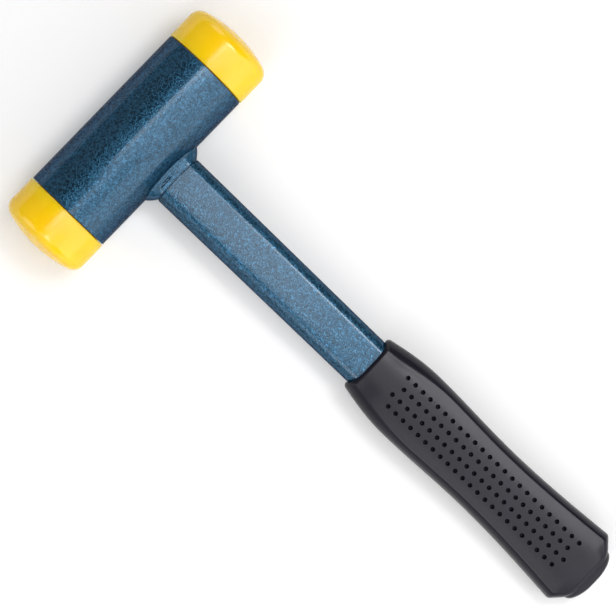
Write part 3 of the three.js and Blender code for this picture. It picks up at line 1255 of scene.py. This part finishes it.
    def butt_rings(self) -> Array:
        """Rings from the chamfer over the rounded shoulder to the boss and its end.

        The shoulder's rings turn step by step into the boss's ring, whose foot lies further back
        on the edges, where the chamfer meets it, than on the broad faces. The boss is drawn in by
        one less the cosine of its turn.

        Returns:
            Grid of rings by points by 3.
        """
        turn = np.linspace(0, pi / 2, self.round_steps + 1)[1:]
        x = self.shoulder - self.butt_round + self.butt_round * np.sin(turn)
        shoulder = self.body_rings(x, self.butt_round * (1 - np.cos(turn)))
        foot = self.tube_rings(np.array([self.shoulder]), np.array([self.boss_wall]))
        height = foot[0, :, 2] / foot[0, :, 2].max()
        foot[0, :, 0] -= self.boss_set_back * (1 - height ** 2)
        shoulder = mix(shoulder, foot, (turn / turn[-1])[:, None, None] ** self.butt_power)
        turn = np.linspace(0, pi / 2, self.boss_steps + 1)[:, None]
        sizes = np.array([self.handle.width, self.handle.thickness]) / 2 + self.boss_wall
        boss = np.repeat(foot, len(turn), axis=0)
        boss[..., 1:] *= mix(1, self.boss_end / sizes, 1 - np.cos(turn))[:, None]
        least = foot[..., 0] + self.boss_creep * np.arange(len(turn))[:, None]
        boss[..., 0] = np.maximum(self.butt - self.boss_round * (1 - np.sin(turn)), least)
        end = np.repeat(boss[-1:], len(self.boss_shares), axis=0)
        end[..., 1:] *= np.array(self.boss_shares)[:, None, None]
        return np.concatenate([shoulder, boss, end])

    def bore_rings(self) -> Array:
        """Rings of the bore from its closed end to the rounded edge at the mouth.

        Returns:
            Grid of rings by points by 3, the first two of which close the end.
        """
        ends = np.full(3, self.butt - self.butt_wall)
        x = np.concatenate([ends, self.handle.mouth + np.array(self.bore_places)])
        grown = self.fit + np.concatenate([0 * ends, self.bore_flare])
        rings = self.dipped(self.tube_rings(x, grown), x)
        rings[0, :, 1:] = 0
        rings[1, :, 1:] /= 2
        return rings

    def stations(self) -> tuple[Array, Array, int]:
        """Spreads the body's rings over lip, front, hole zone and back.

        Returns:
            Places of the rings, their insets, and the number of the hole zone's first ring.
        """
        turn = np.linspace(0, pi / 2, self.round_steps + 1)
        lip = self.handle.mouth + self.lip_round * (1 - np.cos(turn))
        start = self.pit_first - self.pit_pitch / 2
        zone = start + np.arange(self.pit_holes * self.cell + 1) * self.pit_pitch / self.cell
        front = np.linspace(lip[-1], start, self.front_steps + 1)[1:-1]
        back = np.linspace(zone[-1], self.shoulder - self.butt_round, self.back_steps + 1)[1:]
        x = np.concatenate([lip, front, zone, back])
        inset = np.concatenate([self.lip_round * (1 - np.sin(turn)), np.zeros(len(x) - len(lip))])
        return x, inset, len(lip) + len(front)

    def pit_cells(self) -> tuple[Array, Array]:
        """Finds the cells of the holes, odd rows half a pitch on.

        Returns:
            First ring and first line of every hole's cell in the zone.
        """
        row, hole = np.meshgrid(np.arange(self.pit_rows), np.arange(self.pit_holes), indexing="ij")
        shift = row % 2
        keep = hole < self.pit_holes - shift
        ring = hole * self.cell + shift * self.cell // 2
        return ring[keep], (row * self.cell)[keep]

    def add_pits(self, skin: Skin, rings: Array, index: Array, first_ring: int, first_line: int,
                 row_sign: int) -> Array:
        """Fills the hole cells of one broad face.

        Each cell's outline is joined to circles that run from the broad face over a bevelled edge
        down the hole's wall to its cone-shaped floor.

        Args:
            skin: skin that takes the faces.
            rings: points of the body.
            index: their indices.
            first_ring: ring where the hole zone starts.
            first_line: line where the strip of holes starts.
            row_sign: 1 where lines run towards -y with rising rows, -1 otherwise.

        Returns:
            Mask of the body's quads that the cells take the place of.
        """
        ring, line = self.pit_cells()
        if row_sign < 0:
            line = (self.pit_rows - 1) * self.cell - line
        ring, line = ring + first_ring, line + first_line
        step = np.arange(self.cell)
        across = np.concatenate([0 * step, step, 0 * step + self.cell, self.cell - step])
        along = np.concatenate([step, 0 * step + self.cell, self.cell - step, 0 * step])
        outline = ring[:, None] + along, line[:, None] + across
        middle = self.cell // 2
        centre = rings[ring + middle, line + middle]
        radius = np.array([self.pit_edge, 0.0, -self.pit_edge / 2, -self.pit_radius])
        radius += self.pit_radius
        depth = np.array([0.0, self.pit_edge, self.pit_wall, self.pit_depth])
        edge = rings[outline] - centre[:, None]
        start = np.arctan2(edge[:, 0, 1], edge[:, 0, 0])
        sense = np.sign(edge[:, 0, 0] * edge[:, 1, 1] - edge[:, 0, 1] * edge[:, 1, 0])
        angle = start[:, None] + sense[:, None] * np.arange(len(along)) * 2 * pi / len(along)
        spoke = np.stack([np.cos(angle), np.sin(angle), 0 * angle], axis=-1)
        circles = centre[:, None, None] + spoke[:, None] * radius[:, None, None]
        pad = self.pad(circles[..., 0])
        drop = self.crown * pad * np.abs(circles[..., 1] / pad) ** CROWN_POWER
        face = self.level(circles[..., 0]) - drop
        circles[..., 2] = np.sign(centre[:, 2])[:, None, None] * (face - depth[:, None])
        cells = np.concatenate([index[outline][:, None], skin.add(circles)], axis=1)
        for grid in np.concatenate([cells, cells[:, :, :1]], axis=2):
            skin.span(grid)
        taken = np.zeros((index.shape[0] - 1, index.shape[1] - 1), bool)
        taken[ring[:, None, None] + step[:, None], line[:, None, None] + step] = True
        log.info("%s: %d holes", skin.name, len(ring))
        return taken

    def dress(self, lay: Lay, finishes: Finishes) -> None:
        """Builds bore, body, butt and holes as one closed skin of rubber.

        Args:
            lay: how the hammer lies.
            finishes: the materials.
        """
        x, inset, zone = self.stations()
        body = self.body_rings(x, inset)
        skin = Skin("grip_rubber_sleeve")
        index = skin.add(body)
        index = np.hstack([index, index[:, :1]])
        lines = 2 * self.margin + self.pit_rows * self.cell + 1
        upper = self.add_pits(skin, body, index, zone, self.margin, -1)
        lower = self.add_pits(skin, body, index, zone, lines + self.side_steps - 1 + self.margin, 1)
        skin.span(index, ~(upper | lower))
        skin.sweep(np.concatenate([self.bore_rings(), body[:1]]))
        skin.sweep(np.concatenate([body[-1:], self.butt_rings()]))
        finishes.dress(skin.build(lay), Slot.GRIP, Body.HAMMER, "grip_sleeve")


@dataclass(frozen=True)
class Softbox:
    """Even softbox.

    Attributes:
        name: the lamp's name.
        place: its middle in the hammer's frame, in millimetres.
        aim: point that it faces.
        size: its length along the handle or upwards and its width along the head, in metres.
        radiance: how bright it looks, where 1 is white.
    """

    name: str
    place: Place
    aim: Place
    size: Pair
    radiance: float

    @classmethod
    def overhead(cls, name: str, x: float, y: float, size: Pair, radiance: float) -> "Softbox":
        """Softbox under the ceiling that faces straight down."""
        return cls(name, (x, y, CEILING), (x, y, 0.0), size, radiance)

    def hang(self, lay: Lay) -> None:
        """Hangs the lamp: its power is pi times its area times its radiance.

        Args:
            lay: how the hammer lies.
        """
        data = bpy.data.lights.new(self.name, "AREA")
        data.shape = "RECTANGLE"
        data.size, data.size_y = self.size
        data.energy = pi * self.size[0] * self.size[1] * self.radiance
        back = unit(np.array(self.place) - np.array(self.aim))
        width = unit(np.array([0.0, 1.0, 0.0]) - back * back[1])
        axes = np.stack([np.cross(width, back), width, back])
        put(self.name, data).matrix_world = lay.pose(axes, np.array(self.place))


@dataclass
class Studio:
    """Pale floor, soft light and the photograph's camera."""

    lay: Lay
    view_centre: Place = (98.2, -0.6, 0.0)
    view_width: float = 252.2
    view_distance: float = 1200.0
    view_roll: float = radians(44.0)
    view_lean: float = radians(1.6)
    sensor_width: float = 36.0
    world_strength: float = 0.06
    floor_reach: float = 30.0
    floor_dark: Colour = (0.79, 0.79, 0.79)
    floor_pale: Colour = (0.81, 0.81, 0.81)
    floor_clouds: float = 1.5
    floor_detail: float = 2.0
    floor_lift: float = 0.16
    floor_fade: Pair = (0.4, 2.4)
    floor_roughness: float = 0.9
    floor_shine: float = 0.1
    lamps: tuple[Softbox, ...] = (
        Softbox.overhead("handle_softbox", 10.0, 85.0, (0.22, 0.28), 4.35),
        Softbox.overhead("edge_softbox", 35.0, 365.0, (0.19, 0.28), 6.4),
        Softbox.overhead("top_softbox", 370.0, 235.0, (0.48, 0.53), 2.1),
        Softbox.overhead("far_softbox", 950.0, 250.0, (0.68, 0.5), 2.25),
        Softbox.overhead("near_softbox", 305.0, -165.0, (0.33, 0.27), 1.9),
        Softbox.overhead("low_softbox", 885.0, -265.0, (0.83, 0.47), 1.0),
        Softbox("near_strip", (280.0, -620.0, 1100.0), (280.0, 0.0, 0.0), (0.26, 0.75), 4.5),
        Softbox("end_softbox", (1350.0, 100.0, 650.0), (0.0, 100.0, 650.0), (1.2, 2.0), 1.75),
        Softbox("strip_light", (260.0, 480.0, 1150.0), (260.0, 0.0, 0.0), (0.42, 0.30), 10.0),
        Softbox("side_softbox", (640.0, -900.0, 1150.0), (640.0, -400.0, 0.0), (1.4, 0.9), 0.8),
        Softbox("fill_light", (200.0, -1300.0, 600.0), (200.0, 0.0, 0.0), (0.8, 1.6), 0.55),
        Softbox("back_light", (-1300.0, 0.0, 700.0), ORIGIN, (1.2, 1.2), 0.12),
        Softbox("corner_light_right", (-900.0, 1250.0, 650.0), ORIGIN, (1.0, 1.0), 1.8),
        Softbox("corner_light_left", (-900.0, -1250.0, 650.0), ORIGIN, (1.0, 1.0), 1.8),
    )

    def floor_material(self) -> Material:
        """Builds the floor's finish: faint clouds, and a glow that eyes and mirrors see far off.

        Returns:
            The material.
        """
        material, graph, shader, place = new_material("pale_floor")
        cloud = graph.noise(place, self.floor_clouds, self.floor_detail)
        rays = graph.node("ShaderNodeLightPath").outputs
        bent = graph.maths("MAXIMUM", rays["Is Glossy Ray"], rays["Is Transmission Ray"])
        seen = graph.maths("MAXIMUM", rays["Is Camera Ray"], bent)
        away = graph.node("ShaderNodeVectorMath", {0: place}, operation="LENGTH").outputs["Value"]
        lift = graph.span(away, self.floor_fade, (self.floor_lift, 1.0))
        graph.feed(shader, {
            "Base Color": graph.blend(cloud, self.floor_dark, self.floor_pale),
            "Emission Strength": graph.maths("MULTIPLY", seen, lift),
            "Emission Color": WHITE,
            "Roughness": self.floor_roughness,
            "Specular IOR Level": self.floor_shine,
        })
        return material

    def floor(self) -> None:
        """Lays a wide pale floor under the hammer."""
        reach, level = self.floor_reach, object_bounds()[0][2]
        corners = [(x * reach, y * reach, level) for x, y in ((-1, -1), (1, -1), (1, 1), (-1, 1))]
        mesh = bpy.data.meshes.new("floor")
        mesh.from_pydata(corners, [], [(0, 1, 2, 3)])
        mesh.materials.append(self.floor_material())
        floor = put("floor", mesh)
        floor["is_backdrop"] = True

    def light(self) -> None:
        """Sets a faint even world and hangs the softboxes."""
        world = bpy.data.worlds.new("studio")
        world.use_nodes = True
        background = world.node_tree.nodes["Background"]
        background.inputs["Color"].default_value = WHITE
        background.inputs["Strength"].default_value = self.world_strength
        bpy.context.scene.world = world
        for lamp in self.lamps:
            lamp.hang(self.lay)

    def camera(self) -> None:
        """Looks down on the hammer, leaning to -y, with the handle towards the lower right."""
        back = np.array([0.0, -sin(self.view_lean), cos(self.view_lean)])
        right = np.array([cos(self.view_roll), sin(self.view_roll), 0.0])
        right = unit(right - back * (right @ back))
        axes = np.stack([right, np.cross(back, right), back])
        data = bpy.data.cameras.new("camera")
        data.sensor_width = self.sensor_width
        data.lens = data.sensor_width * self.view_distance / self.view_width
        camera = put("camera", data)
        at = np.array(self.view_centre) + back * self.view_distance
        camera.matrix_world = self.lay.pose(axes, at)
        bpy.context.scene.camera = camera


def main() -> None:
    """Builds and dresses every piece and sets the scene."""
    logging.basicConfig(level=logging.INFO, format="%(name)s %(message)s")
    lay = Lay.from_frame()
    finishes = Finishes()
    handle = HandleTube()
    head = (HeadTube(), StrikingFace(), ClosingDisc(), ShotCharge())
    for part in (*head, handle, WeldBead(handle), GripSleeve(handle)):
        part.dress(lay, finishes)
    studio = Studio(lay)
    studio.floor()
    studio.light()
    studio.camera()
    bpy.context.scene.view_settings.view_transform = "Standard"


if __name__ == "__main__":
    main()
